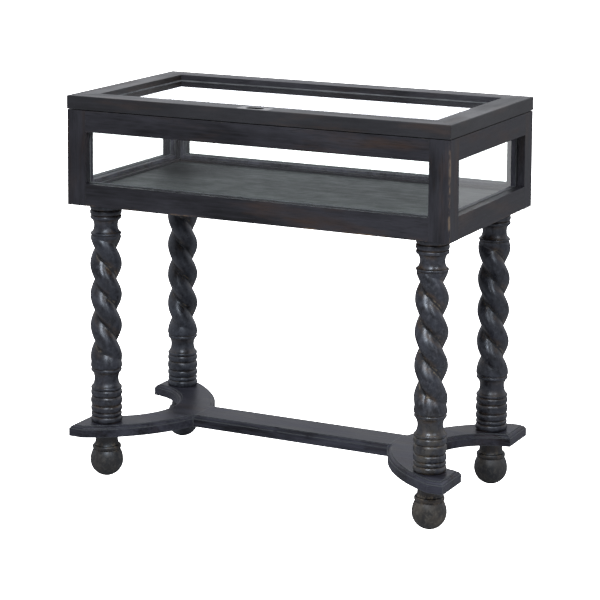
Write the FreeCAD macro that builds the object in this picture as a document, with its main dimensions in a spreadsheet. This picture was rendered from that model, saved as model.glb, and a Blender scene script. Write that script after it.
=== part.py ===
# Glazed display table: a framed glass case with a hinged glass lid, carried on four legs with
# two-strand twists, an H stretcher with crescent ends, and ball feet.
# Frame: +X along the length, -Y is the front, +Z is up; the origin is the middle of the footprint
# on the floor. Lengths are in millimetres.
import FreeCAD, Part
import math
import os
from types import SimpleNamespace

import Sketcher

V = FreeCAD.Vector

SIZES = {
    # case frame
    "case_length": 963, "case_depth": 503, "case_base": 660.5, "case_rise": 224.5,
    "post_side": 50, "rail_face": 50, "sill_face": 52, "post_arris": 3, "arris": 1.5,
    "reveal": 17, "rebate": 8, "bead_width": 14, "bead_gap": 0.1,
    "pane_thickness": 4, "pane_bite": 7,
    "dowel_radius": 4, "dowel_length": 36, "dowel_edge": 14, "dowel_pitch": 18, "glue_gap": 0.1,
    # floor of the case
    "floor_thickness": 6, "floor_drop": 13.5, "floor_gap": 0.5,
    "block_side": 80, "batten_side": 20, "batten_screw_pitch": 260, "batten_screw_pitch_short": 150,
    # lid
    "lid_overhang": 0, "lid_thickness": 32, "lid_seam": 1.5, "lid_face": 56.5, "lid_arris": 2,
    "lid_rebate": 9, "lid_glass_drop": 15, "lid_glass_thickness": 5, "lid_glass_gap": 1.5,
    "spline_length": 36, "spline_width": 20, "spline_thickness": 4, "spline_drop": 6.5,
    "buffer_radius": 5, "buffer_thickness": 1.4,
    # hinges along the back edge
    "hinge_offset": 300, "hinge_length": 76, "hinge_inset": 3, "leaf_width": 34, "leaf_thickness": 2,
    "leaf_hole_pitch": 26, "leaf_hole_row": 20, "leaf_relief": 4.3, "leaf_reach": 2.4,
    "barrel_radius": 3.75, "barrel_relief": 4.2, "pin_radius": 1.75, "pin_clearance": 0.05,
    "knuckle_gap": 0.3, "notch_reach": 12, "notch_rise": 14.56,
    # flush pull
    "pull_length": 80, "pull_width": 34, "pull_thickness": 1.6, "pull_setback": 22, "pull_corner": 6,
    "cup_length": 44, "cup_width": 22, "cup_depth": 10, "cup_wall": 1.5, "pull_hole_pitch": 64,
    # screws
    "screw_radius": 1.75, "screw_head_radius": 3.4, "screw_head_rise": 1.65, "screw_slot": 0.9,
    "screw_fit": 0.05, "short_screw": 16, "long_screw": 30,
    # legs
    "leg_inset": 65.5, "stretcher_top": 132, "leg_groove": 34.6, "leg_bead": 37, "leg_ring": 36.4,
    "leg_cove": 28.3, "leg_swell": 37.2, "leg_core": 22,
    "base_bead": 15, "small_bead": 10, "middle_bead": 16.5, "large_bead": 22, "upper_bead": 16,
    "lip_bead": 8, "lower_cove": 35, "lower_ring": 8.5, "swell_band": 5, "run_out": 42,
    "run_in": 22, "collar_bead": 8, "collar_lip": 11, "upper_cove": 28, "neck_ring": 11,
    "neck_bead": 14, "top_band": 15.5,
    "strand_radius": 25.5, "strand_offset": 11, "twist_lead": 149, "twist_start": 133,
    "twist_rise": 311.5,
    # how far each leg is turned about its own axis when it is screwed home
    "turn_front_left": 92, "turn_front_right": 101, "turn_back_left": 35, "turn_back_right": 31,
    # bolts that join case, leg, stretcher and foot
    "bolt_radius": 4, "bolt_fit": 0.05, "hanger_down": 40, "hanger_up": 27, "foot_bolt_up": 24,
    "foot_bolt_down": 22, "nut_flange_radius": 11, "nut_flange": 1.5, "nut_barrel_radius": 5.5,
    "nut_barrel": 12,
    # feet
    "foot_pad": 9, "ball_radius": 41.2, "ball_rise": 65, "foot_groove": 31.5, "foot_ring": 34.2,
    "foot_ring_rise": 11, "foot_neck": 26.8, "foot_top": 28,
    # stretcher
    "stretcher_thickness": 27, "tip_reach": 477, "tip_inner": 150, "tip_outer": 258,
    "tip_shoulder": 440, "crescent_waist": 346, "crescent_back": 357, "back_reach": 256,
    "joint_reach": 254, "bar_half_width": 52.5, "moulding_drop": 8, "moulding_cap": 2,
    "moulding_lip": 2, "moulding_inset": 9.5, "moulding_round": 5.9,
    "bar_dowel_radius": 5, "bar_dowel_length": 50, "bar_dowel_pitch": 50,
}


class Size:
    """A length known both as a number and as an expression in the sheet's names."""

    def __init__(self, text, value):
        self.text = text
        self.value = value

    def joined(self, sign, other, value):
        return Size("(%s %s %s)" % (self.text, sign, other.text), value)

    def __add__(self, other):
        other = as_size(other)
        return self.joined("+", other, self.value + other.value)

    def __sub__(self, other):
        other = as_size(other)
        return self.joined("-", other, self.value - other.value)

    def __mul__(self, other):
        other = as_size(other)
        return self.joined("*", other, self.value * other.value)

    def __truediv__(self, other):
        other = as_size(other)
        return self.joined("/", other, self.value / other.value)

    def __radd__(self, other):
        return as_size(other) + self

    def __rsub__(self, other):
        return as_size(other) - self

    def __rmul__(self, other):
        return as_size(other) * self

    def __neg__(self):
        return as_size(-1) * self


def as_size(number):
    return number if isinstance(number, Size) else Size("(%s)" % number, number)


doc = FreeCAD.newDocument("GlazedDisplayTable")
D = SimpleNamespace(**{alias: Size("sizes." + alias, value) for alias, value in SIZES.items()})
PLACES = ("front", "back", "left", "right")
CORNERS = [(depth, side) for depth in ("front", "back") for side in ("left", "right")]
SIGN = {"left": -1, "right": 1, "front": -1, "back": 1}
pieces = {}

# Sizes that several pieces share.
ORIGIN = as_size(0)
SILL = D.case_base + D.sill_face
CASE_TOP = D.case_base + D.case_rise
HEAD = CASE_TOP - D.rail_face
LID_BASE = CASE_TOP + D.lid_seam
LID_TOP = LID_BASE + D.lid_thickness
FLOOR_BASE = SILL - D.floor_drop - D.floor_thickness
WINDOW_LENGTH = D.case_length - 2 * D.post_side
WINDOW_DEPTH = D.case_depth - 2 * D.post_side
WINDOW_RISE = HEAD - SILL
LID_LENGTH = D.case_length + 2 * D.lid_overhang
LID_DEPTH = D.case_depth + 2 * D.lid_overhang
REBATED_LENGTH = LID_LENGTH - 2 * D.lid_face + 2 * D.lid_rebate
REBATED_DEPTH = LID_DEPTH - 2 * D.lid_face + 2 * D.lid_rebate
LID_GLASS_BASE = LID_TOP - D.lid_glass_drop - D.lid_glass_thickness
PIN_Y = D.case_depth / 2 - D.hinge_inset
PIN_Z = CASE_TOP + D.lid_seam / 2
LEG_X = D.case_length / 2 - D.leg_inset
LEG_Y = D.case_depth / 2 - D.leg_inset
LEG_RISE = D.case_base - D.stretcher_top
STRETCHER_BASE = D.stretcher_top - D.stretcher_thickness
PULL_Y = D.pull_setback - D.case_depth / 2
UPWARD = FreeCAD.Rotation()
DOWNWARD = FreeCAD.Rotation(V(1, 0, 0), 180)
TO_FRONT = FreeCAD.Rotation(V(1, 0, 0), 90)
TO_BACK = FreeCAD.Rotation(V(1, 0, 0), -90)
TO_LEFT = FreeCAD.Rotation(V(0, 1, 0), -90)
TO_RIGHT = FreeCAD.Rotation(V(0, 1, 0), 90)


# ---- helpers that make objects and bind them to the sheet ----

def fill_sheet():
    sheet = doc.addObject("Spreadsheet::Sheet", "sizes")
    for row, (alias, value) in enumerate(SIZES.items(), start=1):
        sheet.set("A%d" % row, alias.replace("_", " "))
        sheet.set("B%d" % row, str(value))
        sheet.setAlias("B%d" % row, alias)
    doc.recompute()


def bind(obj, **values):
    for prop, value in values.items():
        obj.setExpression(prop, as_size(value).text)
    return obj


def at(obj, x=0, y=0, z=0, rotation=UPWARD):
    """Turns an object about its own origin, then binds its position."""
    obj.Placement = FreeCAD.Placement(V(0, 0, 0), rotation)
    for axis, value in zip("xyz", (x, y, z)):
        obj.setExpression("Placement.Base." + axis, as_size(value).text)
    return obj


def block(name, length, width, rise, x=0, y=0, z=0):
    """Box centred on x and y, standing on z."""
    solid = bind(doc.addObject("Part::Box", name), Length=length, Width=width, Height=rise)
    return at(solid, x - as_size(length) / 2, y - as_size(width) / 2, z)


def rod(name, radius, length, x=0, y=0, z=0, facing=UPWARD):
    """Cylinder that starts at x, y, z and runs the way it faces."""
    solid = bind(doc.addObject("Part::Cylinder", name), Radius=radius, Height=length)
    return at(solid, x, y, z, facing)


def cone(name, lower, upper, rise, z):
    solid = bind(doc.addObject("Part::Cone", name), Radius1=lower, Radius2=upper, Height=rise)
    return at(solid, z=z)


def group(name, members):
    compound = doc.addObject("Part::Compound", name)
    compound.Links = list(members)
    return compound


def copy(name, source, x=0, y=0, z=0, rotation=UPWARD):
    return at(group(name, [source]), x, y, z, rotation)


def cut(name, base, tools):
    result = doc.addObject("Part::Cut", name)
    result.Base = base
    result.Tool = tools[0] if len(tools) == 1 else group(name + "_tools", tools)
    return result


def fuse(name, members):
    result = doc.addObject("Part::MultiFuse", name)
    result.Shapes = list(members)
    return result


def keep(name, obj):
    """Names a finished piece; its label is its file's name."""
    obj.Label = name
    pieces[name] = obj
    return obj


def near(first, second):
    return abs(first - second) < 1e-4


def picked_edges(shape, test):
    """Numbers of the edges whose middle point passes the test."""
    return [number for number, edge in enumerate(shape.Edges, start=1) if test(edge.CenterOfMass, edge)]


def new_sketch(body, name, role, lift=0):
    sketch = body.newObject("Sketcher::SketchObject", name)
    plane = [item for item in body.Origin.OriginFeatures if item.Role == role][0]
    sketch.AttachmentSupport = (plane, [""])
    sketch.MapMode = "FlatFace"
    sketch.setExpression("AttachmentOffset.Base.z", as_size(lift).text)
    return sketch


def arc_radius(along, across, rise):
    """Radius of an arc over a chord with the given sides, standing off the chord by the rise."""
    return (along * along / 4 + across * across / 4 + rise * rise) / (2 * rise)


def fix_point(sketch, geometry, end, x, y):
    for kind, value in (("DistanceX", as_size(x)), ("DistanceY", as_size(y))):
        number = sketch.addConstraint(Sketcher.Constraint(kind, -1, 1, geometry, end, value.value))
        sketch.setExpression("Constraints[%d]" % number, value.text)


def draw_arc(sketch, start, end, radius, side):
    """Arc of less than half a turn that bulges to the right of its travel, or to the left if side < 0."""
    chord = end - start
    middle = (start + end) / 2
    left = V(-chord.y, chord.x, 0).normalize()
    centre = middle + left * side * math.sqrt(radius ** 2 - (chord.Length / 2) ** 2)
    first, last = (start, end) if side > 0 else (end, start)
    angles = [math.atan2(point.y - centre.y, point.x - centre.x) for point in (first, last)]
    if angles[1] < angles[0]:
        angles[1] += 2 * math.pi
    circle = Part.Circle(centre, V(0, 0, 1), radius)
    return sketch.addGeometry(Part.ArcOfCircle(circle, angles[0], angles[1]), False)


def draw_outline(sketch, corners):
    """Closed outline; a corner is x, y and, where an arc leaves it, the arc's radius and side."""
    points = [V(as_size(corner[0]).value, as_size(corner[1]).value, 0) for corner in corners]
    ends = []
    for number, corner in enumerate(corners):
        start = points[number]
        end = points[(number + 1) % len(points)]
        if len(corner) == 2:
            geometry = sketch.addGeometry(Part.LineSegment(start, end), False)
            ends.append((geometry, 1, 2))
        else:
            radius, side = corner[2:]
            geometry = draw_arc(sketch, start, end, radius.value, side)
            ends.append((geometry, 1, 2) if side > 0 else (geometry, 2, 1))
            rule = sketch.addConstraint(Sketcher.Constraint("Radius", geometry, radius.value))
            sketch.setExpression("Constraints[%d]" % rule, radius.text)
    for number, (geometry, start_end, stop_end) in enumerate(ends):
        after, after_start, _ = ends[(number + 1) % len(ends)]
        sketch.addConstraint(Sketcher.Constraint("Coincident", geometry, stop_end, after, after_start))
        fix_point(sketch, geometry, start_end, *corners[number][:2])
    return sketch


def rectangle(length, width):
    return [(-length / 2, -width / 2), (length / 2, -width / 2), (length / 2, width / 2),
            (-length / 2, width / 2)]


def bar_body(name, length, width, rise, x, y, z, rounds):
    """Squared timber with some of its arrises rounded; each round is a radius and an edge test."""
    body = doc.addObject("PartDesign::Body", name + "_blank")
    sketch = draw_outline(new_sketch(body, name + "_section", "XY_Plane"), rectangle(length, width))
    pad = body.newObject("PartDesign::Pad", name + "_pad")
    pad.Profile = sketch
    bind(pad, Length=rise)
    doc.recompute()
    last = pad
    for number, (radius, test) in enumerate(rounds):
        fillet = body.newObject("PartDesign::Fillet", "%s_round_%d" % (name, number))
        fillet.Base = (last, ["Edge%d" % edge for edge in picked_edges(last.Shape, test)])
        bind(fillet, Radius=radius)
        doc.recompute()
        last = fillet
    return at(body, x, y, z)


def prism_body(name, corners, length):
    """Prism along x with its section drawn in y and z, centred on x."""
    body = doc.addObject("PartDesign::Body", name)
    sketch = draw_outline(new_sketch(body, name + "_section", "YZ_Plane"), corners)
    pad = body.newObject("PartDesign::Pad", name + "_pad")
    pad.Profile = sketch
    pad.Midplane = True
    bind(pad, Length=length)
    return body


# ---- screws, bolts and dowels ----

def screw_master(kind, length):
    """A slotted countersunk screw with its head's face at z = 0, and the hole it needs."""
    reach = length - D.screw_radius
    head = cone(kind + "_head", D.screw_radius, D.screw_head_radius, D.screw_head_rise, -D.screw_head_rise)
    shank = rod(kind + "_shank", D.screw_radius, reach, z=-reach)
    point = cone(kind + "_point", D.screw_radius / 8, D.screw_radius, D.screw_radius, -length)
    slot = block(kind + "_slot", 3 * D.screw_head_radius, D.screw_slot, D.screw_slot, z=-D.screw_slot)
    screw = cut(kind, fuse(kind + "_body", [head, shank, point]), [slot])
    wide = D.screw_head_radius + D.screw_fit
    sink = cone(kind + "_sink", D.screw_radius + D.screw_fit, wide, D.screw_head_rise, -D.screw_head_rise)
    mouth = rod(kind + "_mouth", wide, D.leaf_thickness)
    bore = rod(kind + "_bore", D.screw_radius + D.screw_fit, length, z=-length)
    return screw, fuse(kind + "_hole", [sink, mouth, bore])


def screw_set(name, master, places):
    """Screws at the places given, as one piece, and their holes as a cutting tool."""
    solids = []
    holes = []
    for number, place in enumerate(places):
        solids.append(copy("%s_%d" % (name, number), master[0], *place))
        holes.append(copy("%s_hole_%d" % (name, number), master[1], *place))
    keep(name, group(name, solids))
    return group(name + "_holes", holes)


def rail_dowel_rods(name, radius, length):
    """Two dowels in each of the sixteen joints between a rail and a post."""
    rods = []
    low = D.case_base + D.dowel_edge
    high = CASE_TOP - D.dowel_edge
    for depth, side in CORNERS:
        x, y = SIGN[side], SIGN[depth]
        for number, height in enumerate((low, low + D.dowel_pitch, high - D.dowel_pitch, high)):
            label = "%s_%s_%s_%d" % (name, depth, side, number)
            rods.append(rod(label + "_long", radius, length, x * WINDOW_LENGTH / 2 - length / 2,
                            y * (D.case_depth - D.post_side) / 2, height, TO_RIGHT))
            rods.append(rod(label + "_short", radius, length, x * (D.case_length - D.post_side) / 2,
                            y * WINDOW_DEPTH / 2 - length / 2, height, TO_BACK))
    return rods


def upright_rods(name, radius, start, length):
    """A rod on each leg's axis."""
    return [rod("%s_%s_%s" % (name, depth, side), radius, length, SIGN[side] * LEG_X, SIGN[depth] * LEG_Y,
                start) for depth, side in CORNERS]


def build_bolts():
    """Hanger bolts between leg and case, long bolts between leg and foot, and tee nuts."""
    hanger = (D.case_base - D.hanger_down, D.hanger_down + D.hanger_up)
    long_bolt = (STRETCHER_BASE - D.foot_bolt_down,
                 D.foot_bolt_down + D.stretcher_thickness + D.foot_bolt_up)
    keep("leg_bolts", group("leg_bolts", upright_rods("leg_bolt", D.bolt_radius, *hanger)))
    keep("foot_bolts", group("foot_bolts", upright_rods("foot_bolt", D.bolt_radius, *long_bolt)))
    flange_base = FLOOR_BASE - D.nut_flange
    flanges = upright_rods("nut_flange", D.nut_flange_radius, flange_base, D.nut_flange)
    barrels = upright_rods("nut_barrel", D.nut_barrel_radius, flange_base - D.nut_barrel, D.nut_barrel)
    wide_bolt = D.bolt_radius + D.bolt_fit
    bores = upright_rods("nut_bore", wide_bolt, flange_base - D.nut_barrel, D.nut_barrel + D.nut_flange)
    nuts = [cut("tee_nut_%d" % number, fuse("nut_blank_%d" % number, parts[:2]), [parts[2]])
            for number, parts in enumerate(zip(flanges, barrels, bores))]
    keep("tee_nuts", group("tee_nuts", nuts))
    seats = flanges + barrels + upright_rods("bolt_way", wide_bolt, D.case_base, D.block_side)
    return group("nut_seats", seats), group("foot_bolt_ways", upright_rods("foot_bolt_way", wide_bolt,
                                                                         *long_bolt))


# ---- the case: posts, rails, panes, beads and floor ----

def window_rebates():
    """The void behind each window's reveal, for the pane and its beads."""
    tall = WINDOW_RISE + 2 * D.rebate
    low = SILL - D.rebate
    through = D.post_side - D.reveal + 1
    voids = {}
    for depth in ("front", "back"):
        offset = SIGN[depth] * (D.case_depth / 2 - D.reveal - through / 2)
        voids[depth] = block("rebate_" + depth, WINDOW_LENGTH + 2 * D.rebate, through, tall, y=offset, z=low)
    for side in ("left", "right"):
        offset = SIGN[side] * (D.case_length / 2 - D.reveal - through / 2)
        voids[side] = block("rebate_" + side, through, WINDOW_DEPTH + 2 * D.rebate, tall, offset, z=low)
    return voids


def build_frame(rebates, dowel_holes, back_notch, hinge_cuts):
    outer = D.post_side / 2
    for depth, side in CORNERS:
        name = "post_%s_%s" % (depth, side)
        x, y = SIGN[side], SIGN[depth]
        corner = V(x * outer.value, y * outer.value, 0)
        blank = bar_body(name, D.post_side, D.post_side, D.case_rise, x * (D.case_length - D.post_side) / 2,
                         y * (D.case_depth - D.post_side) / 2, D.case_base,
                         [(D.post_arris, lambda p, e, c=corner: near(p.x, c.x) and near(p.y, c.y))])
        cuts = [rebates[depth], rebates[side], dowel_holes]
        keep(name, cut(name, blank, cuts + ([back_notch] if depth == "back" else [])))
    for place in PLACES:
        sign = SIGN[place]
        along_x = place in ("front", "back")
        length, width = (WINDOW_LENGTH, D.post_side) if along_x else (D.post_side, WINDOW_DEPTH)
        x = 0 if along_x else sign * (D.case_length - D.post_side) / 2
        y = sign * (D.case_depth - D.post_side) / 2 if along_x else 0
        face = sign * outer.value
        arris = [(D.arris, lambda p, e, f=face, a=along_x: near(p.z, 0) and near(p.y if a else p.x, f))]
        for level, height, face_rise, rounds in (("bottom", D.case_base, D.sill_face, arris),
                                                 ("top", HEAD, D.rail_face, [])):
            name = "rail_%s_%s" % (level, place)
            blank = bar_body(name, length, width, face_rise, x, y, height, rounds)
            cuts = [rebates[place], dowel_holes]
            if name == "rail_top_back":
                cuts += [back_notch, hinge_cuts]
            keep(name, cut(name, blank, cuts))


def mitred_strips(name, length, depth, width, rise):
    """Four mitred strips round a rectangle centred on the origin: front, right, back and left."""
    strips = []
    spans = (length, depth, length, depth)
    starts = ((-length / 2, -depth / 2), (length / 2, -depth / 2), (length / 2, depth / 2),
              (-length / 2, depth / 2))
    for number, (span, start) in enumerate(zip(spans, starts)):
        strip = bind(doc.addObject("Part::Wedge", "%s_%d" % (name, number)), Xmin=0, Xmax=span, X2min=width,
                     X2max=span - width, Ymin=0, Ymax=width, Zmin=0, Zmax=rise, Z2min=0, Z2max=rise)
        strips.append(at(strip, *start, rotation=FreeCAD.Rotation(V(0, 0, 1), 90 * number)))
    return strips


def build_glazing():
    """A pane in each window, and the four mitred beads that hold it from inside."""
    upright = WINDOW_RISE + 2 * D.pane_bite
    ring_rise = WINDOW_RISE + 2 * D.rebate - 2 * D.bead_gap
    middle = SILL + WINDOW_RISE / 2
    pane_in = D.reveal + D.pane_thickness / 2
    bead_in = D.reveal + D.pane_thickness + D.bead_width
    for place in PLACES:
        sign = SIGN[place]
        along_x = place in ("front", "back")
        span = WINDOW_LENGTH if along_x else WINDOW_DEPTH
        reach = (D.case_depth if along_x else D.case_length) / 2
        wide = span + 2 * D.pane_bite
        pane_off = sign * (reach - pane_in)
        bead_off = sign * (reach - bead_in)
        strips = mitred_strips("beads_%s_strip" % place, span + 2 * D.rebate - 2 * D.bead_gap, ring_rise,
                               D.rebate - D.bead_gap, D.bead_width)
        beads = group("beads_" + place, strips)
        if along_x:
            pane = block("pane_" + place, wide, D.pane_thickness, upright, y=pane_off, z=SILL - D.pane_bite)
            facing = TO_FRONT if sign < 0 else FreeCAD.Rotation(V(0, 1, 1), 180)
            at(beads, 0, bead_off, middle, facing)
        else:
            pane = block("pane_" + place, D.pane_thickness, wide, upright, pane_off, z=SILL - D.pane_bite)
            facing = FreeCAD.Rotation(V(1, sign, sign), 120)
            at(beads, bead_off, 0, middle, facing)
        keep("pane_" + place, pane)
        keep("beads_" + place, beads)


def build_case_floor(nut_seats):
    """Floor panel on battens, and corner blocks that take the legs' bolts."""
    inner_x = WINDOW_LENGTH / 2
    inner_y = WINDOW_DEPTH / 2
    keep("floor_panel", block("floor_panel", WINDOW_LENGTH - 2 * D.floor_gap, WINDOW_DEPTH - 2 * D.floor_gap,
                              D.floor_thickness, z=FLOOR_BASE))
    blocks = [block("corner_block_%s_%s" % (depth, side), D.block_side, D.block_side,
                    FLOOR_BASE - D.case_base, SIGN[side] * (inner_x - D.block_side / 2),
                    SIGN[depth] * (inner_y - D.block_side / 2), D.case_base) for depth, side in CORNERS]
    keep("corner_blocks", cut("corner_blocks", group("corner_block_blanks", blocks), [nut_seats]))
    low = FLOOR_BASE - D.batten_side
    screw_z = FLOOR_BASE - D.batten_side / 2
    long_battens = []
    short_battens = []
    places = []
    for sign in (-1, 1):
        long_battens.append(block("batten_long_%+d" % sign, WINDOW_LENGTH - 2 * D.block_side, D.batten_side,
                                  D.batten_side, y=sign * (inner_y - D.batten_side / 2), z=low))
        short_battens.append(block("batten_short_%+d" % sign, D.batten_side,
                                   WINDOW_DEPTH - 2 * D.block_side, D.batten_side,
                                   sign * (inner_x - D.batten_side / 2), z=low))
        for step in (-1, 0, 1):
            places.append((step * D.batten_screw_pitch, sign * (inner_y - D.batten_side), screw_z,
                           TO_FRONT if sign > 0 else TO_BACK))
        for step in (-1, 1):
            places.append((sign * (inner_x - D.batten_side), step * D.batten_screw_pitch_short / 2, screw_z,
                           TO_LEFT if sign > 0 else TO_RIGHT))
    holes = screw_set("batten_screws", screw_master("long_screw", D.long_screw), places)
    keep("floor_battens_long", cut("floor_battens_long", group("battens_long", long_battens), [holes]))
    keep("floor_battens_short", cut("floor_battens_short", group("battens_short", short_battens), [holes]))
    return holes


# ---- the lid ----

def lid_splines(name, length, width, thickness):
    """A loose tongue across each mitre of the lid frame."""
    tongues = []
    for depth, side in CORNERS:
        x, y = SIGN[side], SIGN[depth]
        tongue = doc.addObject("Part::Box", "%s_%s_%s" % (name, depth, side))
        bind(tongue, Length=length, Width=width, Height=thickness)
        tongue.Placement = FreeCAD.Placement(V(-length.value / 2, -width.value / 2, 0), UPWARD)
        tongues.append(copy("%s_%s_%s_set" % (name, depth, side), tongue,
                            x * (LID_LENGTH - D.lid_face) / 2, y * (LID_DEPTH - D.lid_face) / 2,
                            LID_TOP - D.spline_drop - thickness / 2,
                            FreeCAD.Rotation(V(0, 0, 1), -45 * x * y)))
    return tongues


def build_lid(back_notch, hinge_cuts, pull_cuts):
    strips = mitred_strips("lid_strip", LID_LENGTH, LID_DEPTH, D.lid_face, D.lid_thickness)
    rebate = block("lid_rebate_void", REBATED_LENGTH, REBATED_DEPTH,
                   D.lid_thickness - D.lid_glass_drop + 1, z=LID_BASE - 1)
    splines = (D.spline_length, D.spline_width, D.spline_thickness)
    keep("lid_splines", group("lid_splines", lid_splines("lid_spline", *splines)))
    mortises = group("spline_mortises", lid_splines("spline_mortise", *[v + D.glue_gap for v in splines]))
    special = {"front": [pull_cuts], "back": [hinge_cuts, back_notch], "left": [back_notch],
               "right": [back_notch]}
    for place, strip in zip(("front", "right", "back", "left"), strips):
        doc.recompute()
        soft = doc.addObject("Part::Fillet", "lid_soft_" + place)
        soft.Base = strip
        local = strip.Shape.copy()
        local.Placement = FreeCAD.Placement()
        rise = D.lid_thickness.value
        soft.Edges = ([(n, D.lid_arris.value, D.lid_arris.value) for n in picked_edges(
            local, lambda p, e: near(p.y, 0) and near(p.z, rise))]
                      + [(n, D.arris.value, D.arris.value) for n in picked_edges(
                          local, lambda p, e: near(p.y, 0) and near(p.z, 0))])
        raised = copy("lid_raised_" + place, soft, z=LID_BASE)
        name = "lid_rail_" + place
        keep(name, cut(name, raised, [rebate, mortises] + special[place]))
    keep("lid_glass", block("lid_glass", REBATED_LENGTH - 2 * D.lid_glass_gap,
                            REBATED_DEPTH - 2 * D.lid_glass_gap, D.lid_glass_thickness, z=LID_GLASS_BASE))
    beads = group("lid_beads", mitred_strips("lid_bead", REBATED_LENGTH - 2 * D.bead_gap,
                                             REBATED_DEPTH - 2 * D.bead_gap, D.lid_rebate - D.bead_gap,
                                             LID_GLASS_BASE - LID_BASE))
    keep("lid_beads", at(beads, z=LID_BASE))
    buffers = [rod("buffer_%s_%s" % (depth, side), D.buffer_radius, D.buffer_thickness,
                   SIGN[side] * (D.case_length - D.post_side) / 2,
                   SIGN[depth] * (D.case_depth - D.post_side) / 2, CASE_TOP) for depth, side in CORNERS]
    keep("lid_buffers", group("lid_buffers", buffers))


def obround(name, length, width, rise, z):
    """Block with half-round ends."""
    straight = length - width
    middle = block(name + "_middle", straight, width, rise, z=z)
    ends = [rod("%s_end_%+d" % (name, sign), width / 2, rise, sign * straight / 2, 0, z) for sign in (-1, 1)]
    return fuse(name, [middle] + ends)


def build_pull(short_screw):
    """Flush plate with a finger cup, and what has to be cut from the front rail for it."""
    half_length = D.pull_length.value / 2
    plate = bar_body("pull_sheet", D.pull_length, D.pull_width, D.pull_thickness, 0, 0, -D.pull_thickness,
                     [(D.pull_corner, lambda p, e: near(abs(p.x), half_length) and not near(p.y, 0)
                       and near(p.z, D.pull_thickness.value / 2))])
    deep = D.cup_depth + D.cup_wall
    cup = obround("cup_outside", D.cup_length + 2 * D.cup_wall, D.cup_width + 2 * D.cup_wall, deep, -deep)
    hollow = obround("cup_inside", D.cup_length, D.cup_width, D.cup_depth + 1, -D.cup_depth)
    solid = fuse("pull_solid", [plate, cup])
    hollowed = copy("pull_set", cut("pull_hollowed", solid, [hollow]), y=PULL_Y, z=LID_TOP)
    recess = copy("pull_recess", solid, y=PULL_Y, z=LID_TOP)
    places = [(sign * D.pull_hole_pitch / 2, PULL_Y, LID_TOP) for sign in (-1, 1)]
    holes = screw_set("pull_screws", short_screw, places)
    keep("pull_plate", cut("pull_plate", hollowed, [holes]))
    return group("pull_cuts", [recess, holes])


# ---- the hinges ----

def hinge_leaf(name, leaf_base, owned):
    """Leaf with its own knuckles, centred on x; `owned` lists the knuckles it carries."""
    knuckle = (D.hinge_length - 4 * D.knuckle_gap) / 5
    edge = PIN_Y - D.leaf_relief
    back = PIN_Y - D.leaf_width
    plate = block(name + "_plate", D.hinge_length, edge - back, D.leaf_thickness, y=(edge + back) / 2,
                  z=leaf_base)
    members = [plate]
    for number in owned:
        x = (number - 2) * (knuckle + D.knuckle_gap)
        members.append(block("%s_arm_%d" % (name, number), knuckle, D.leaf_relief - D.leaf_reach + 1,
                             D.leaf_thickness, x, PIN_Y - (D.leaf_relief + D.leaf_reach + 1) / 2, leaf_base))
        members.append(rod("%s_knuckle_%d" % (name, number), D.barrel_radius, knuckle, x - knuckle / 2,
                           PIN_Y, PIN_Z, TO_RIGHT))
    bore = rod(name + "_bore", D.pin_radius + D.pin_clearance, D.hinge_length + 2, -(D.hinge_length + 2) / 2,
               PIN_Y, PIN_Z, TO_RIGHT)
    return cut(name, fuse(name + "_solid", members), [bore])


def build_hinges(short_screw):
    """Two butt hinges; returns what has to be cut from the case rail and from the lid rail."""
    case_leaf = hinge_leaf("hinge_leaf_case", CASE_TOP - D.leaf_thickness, (0, 2, 4))
    lid_leaf = hinge_leaf("hinge_leaf_lid", LID_BASE, (1, 3))
    screw_y = PIN_Y - D.leaf_hole_row
    centres = {side: SIGN[side] * D.hinge_offset for side in ("left", "right")}
    columns = [centre + step * D.leaf_hole_pitch for centre in centres.values() for step in (-1, 0, 1)]
    case_holes = screw_set("hinge_screws_case", short_screw, [(x, screw_y, CASE_TOP) for x in columns])
    lid_holes = screw_set("hinge_screws_lid", short_screw,
                          [(x, screw_y, LID_BASE, DOWNWARD) for x in columns])
    reliefs = []
    seats = {"case": [], "lid": []}
    for side, x in centres.items():
        for part, leaf, holes in (("case", case_leaf, case_holes), ("lid", lid_leaf, lid_holes)):
            name = "hinge_leaf_%s_%s" % (part, side)
            keep(name, cut(name, copy(name + "_set", leaf, x), [holes]))
            base = CASE_TOP - D.leaf_thickness if part == "case" else LID_BASE
            seats[part].append(block(name + "_seat", D.hinge_length, D.leaf_width, D.leaf_thickness, x,
                                     PIN_Y - D.leaf_width / 2, base))
        reliefs.append(rod("barrel_relief_" + side, D.barrel_relief, D.hinge_length + 1,
                           x - (D.hinge_length + 1) / 2, PIN_Y, PIN_Z, TO_RIGHT))
    pins = [rod("hinge_pin_" + side, D.pin_radius, D.hinge_length, x - D.hinge_length / 2, PIN_Y, PIN_Z,
                TO_RIGHT) for side, x in centres.items()]
    keep("hinge_pins", group("hinge_pins", pins))
    return (group("case_hinge_cuts", reliefs + seats["case"] + [case_holes]),
            group("lid_hinge_cuts", reliefs + seats["lid"] + [lid_holes]))


# ---- legs, feet and stretcher ----

def turned_outline(members, radius, height):
    """Corners up a turned profile; a member is its rise, its crest or hollow, and the radius it ends at."""
    corners = [(0, height), (radius, height)]
    for rise, crest, ending in members:
        if crest is None:
            arc = ()
        elif crest.value > radius.value:
            arc = (arc_radius(rise, radius - ending, crest - radius), 1)
        else:
            arc = (arc_radius(rise, radius - ending, radius - crest), -1)
        corners[-1] += arc
        height = height + rise
        radius = ending
        corners.append((radius, height))
    return corners + [(0, height)]


def revolve(body, name, corners):
    sketch = draw_outline(new_sketch(body, name + "_section", "XZ_Plane"), corners)
    turning = body.newObject("PartDesign::Revolution", name)
    turning.Profile = sketch
    turning.ReferenceAxis = (sketch, ["V_Axis"])
    turning.Angle = 360
    return turning


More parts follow.
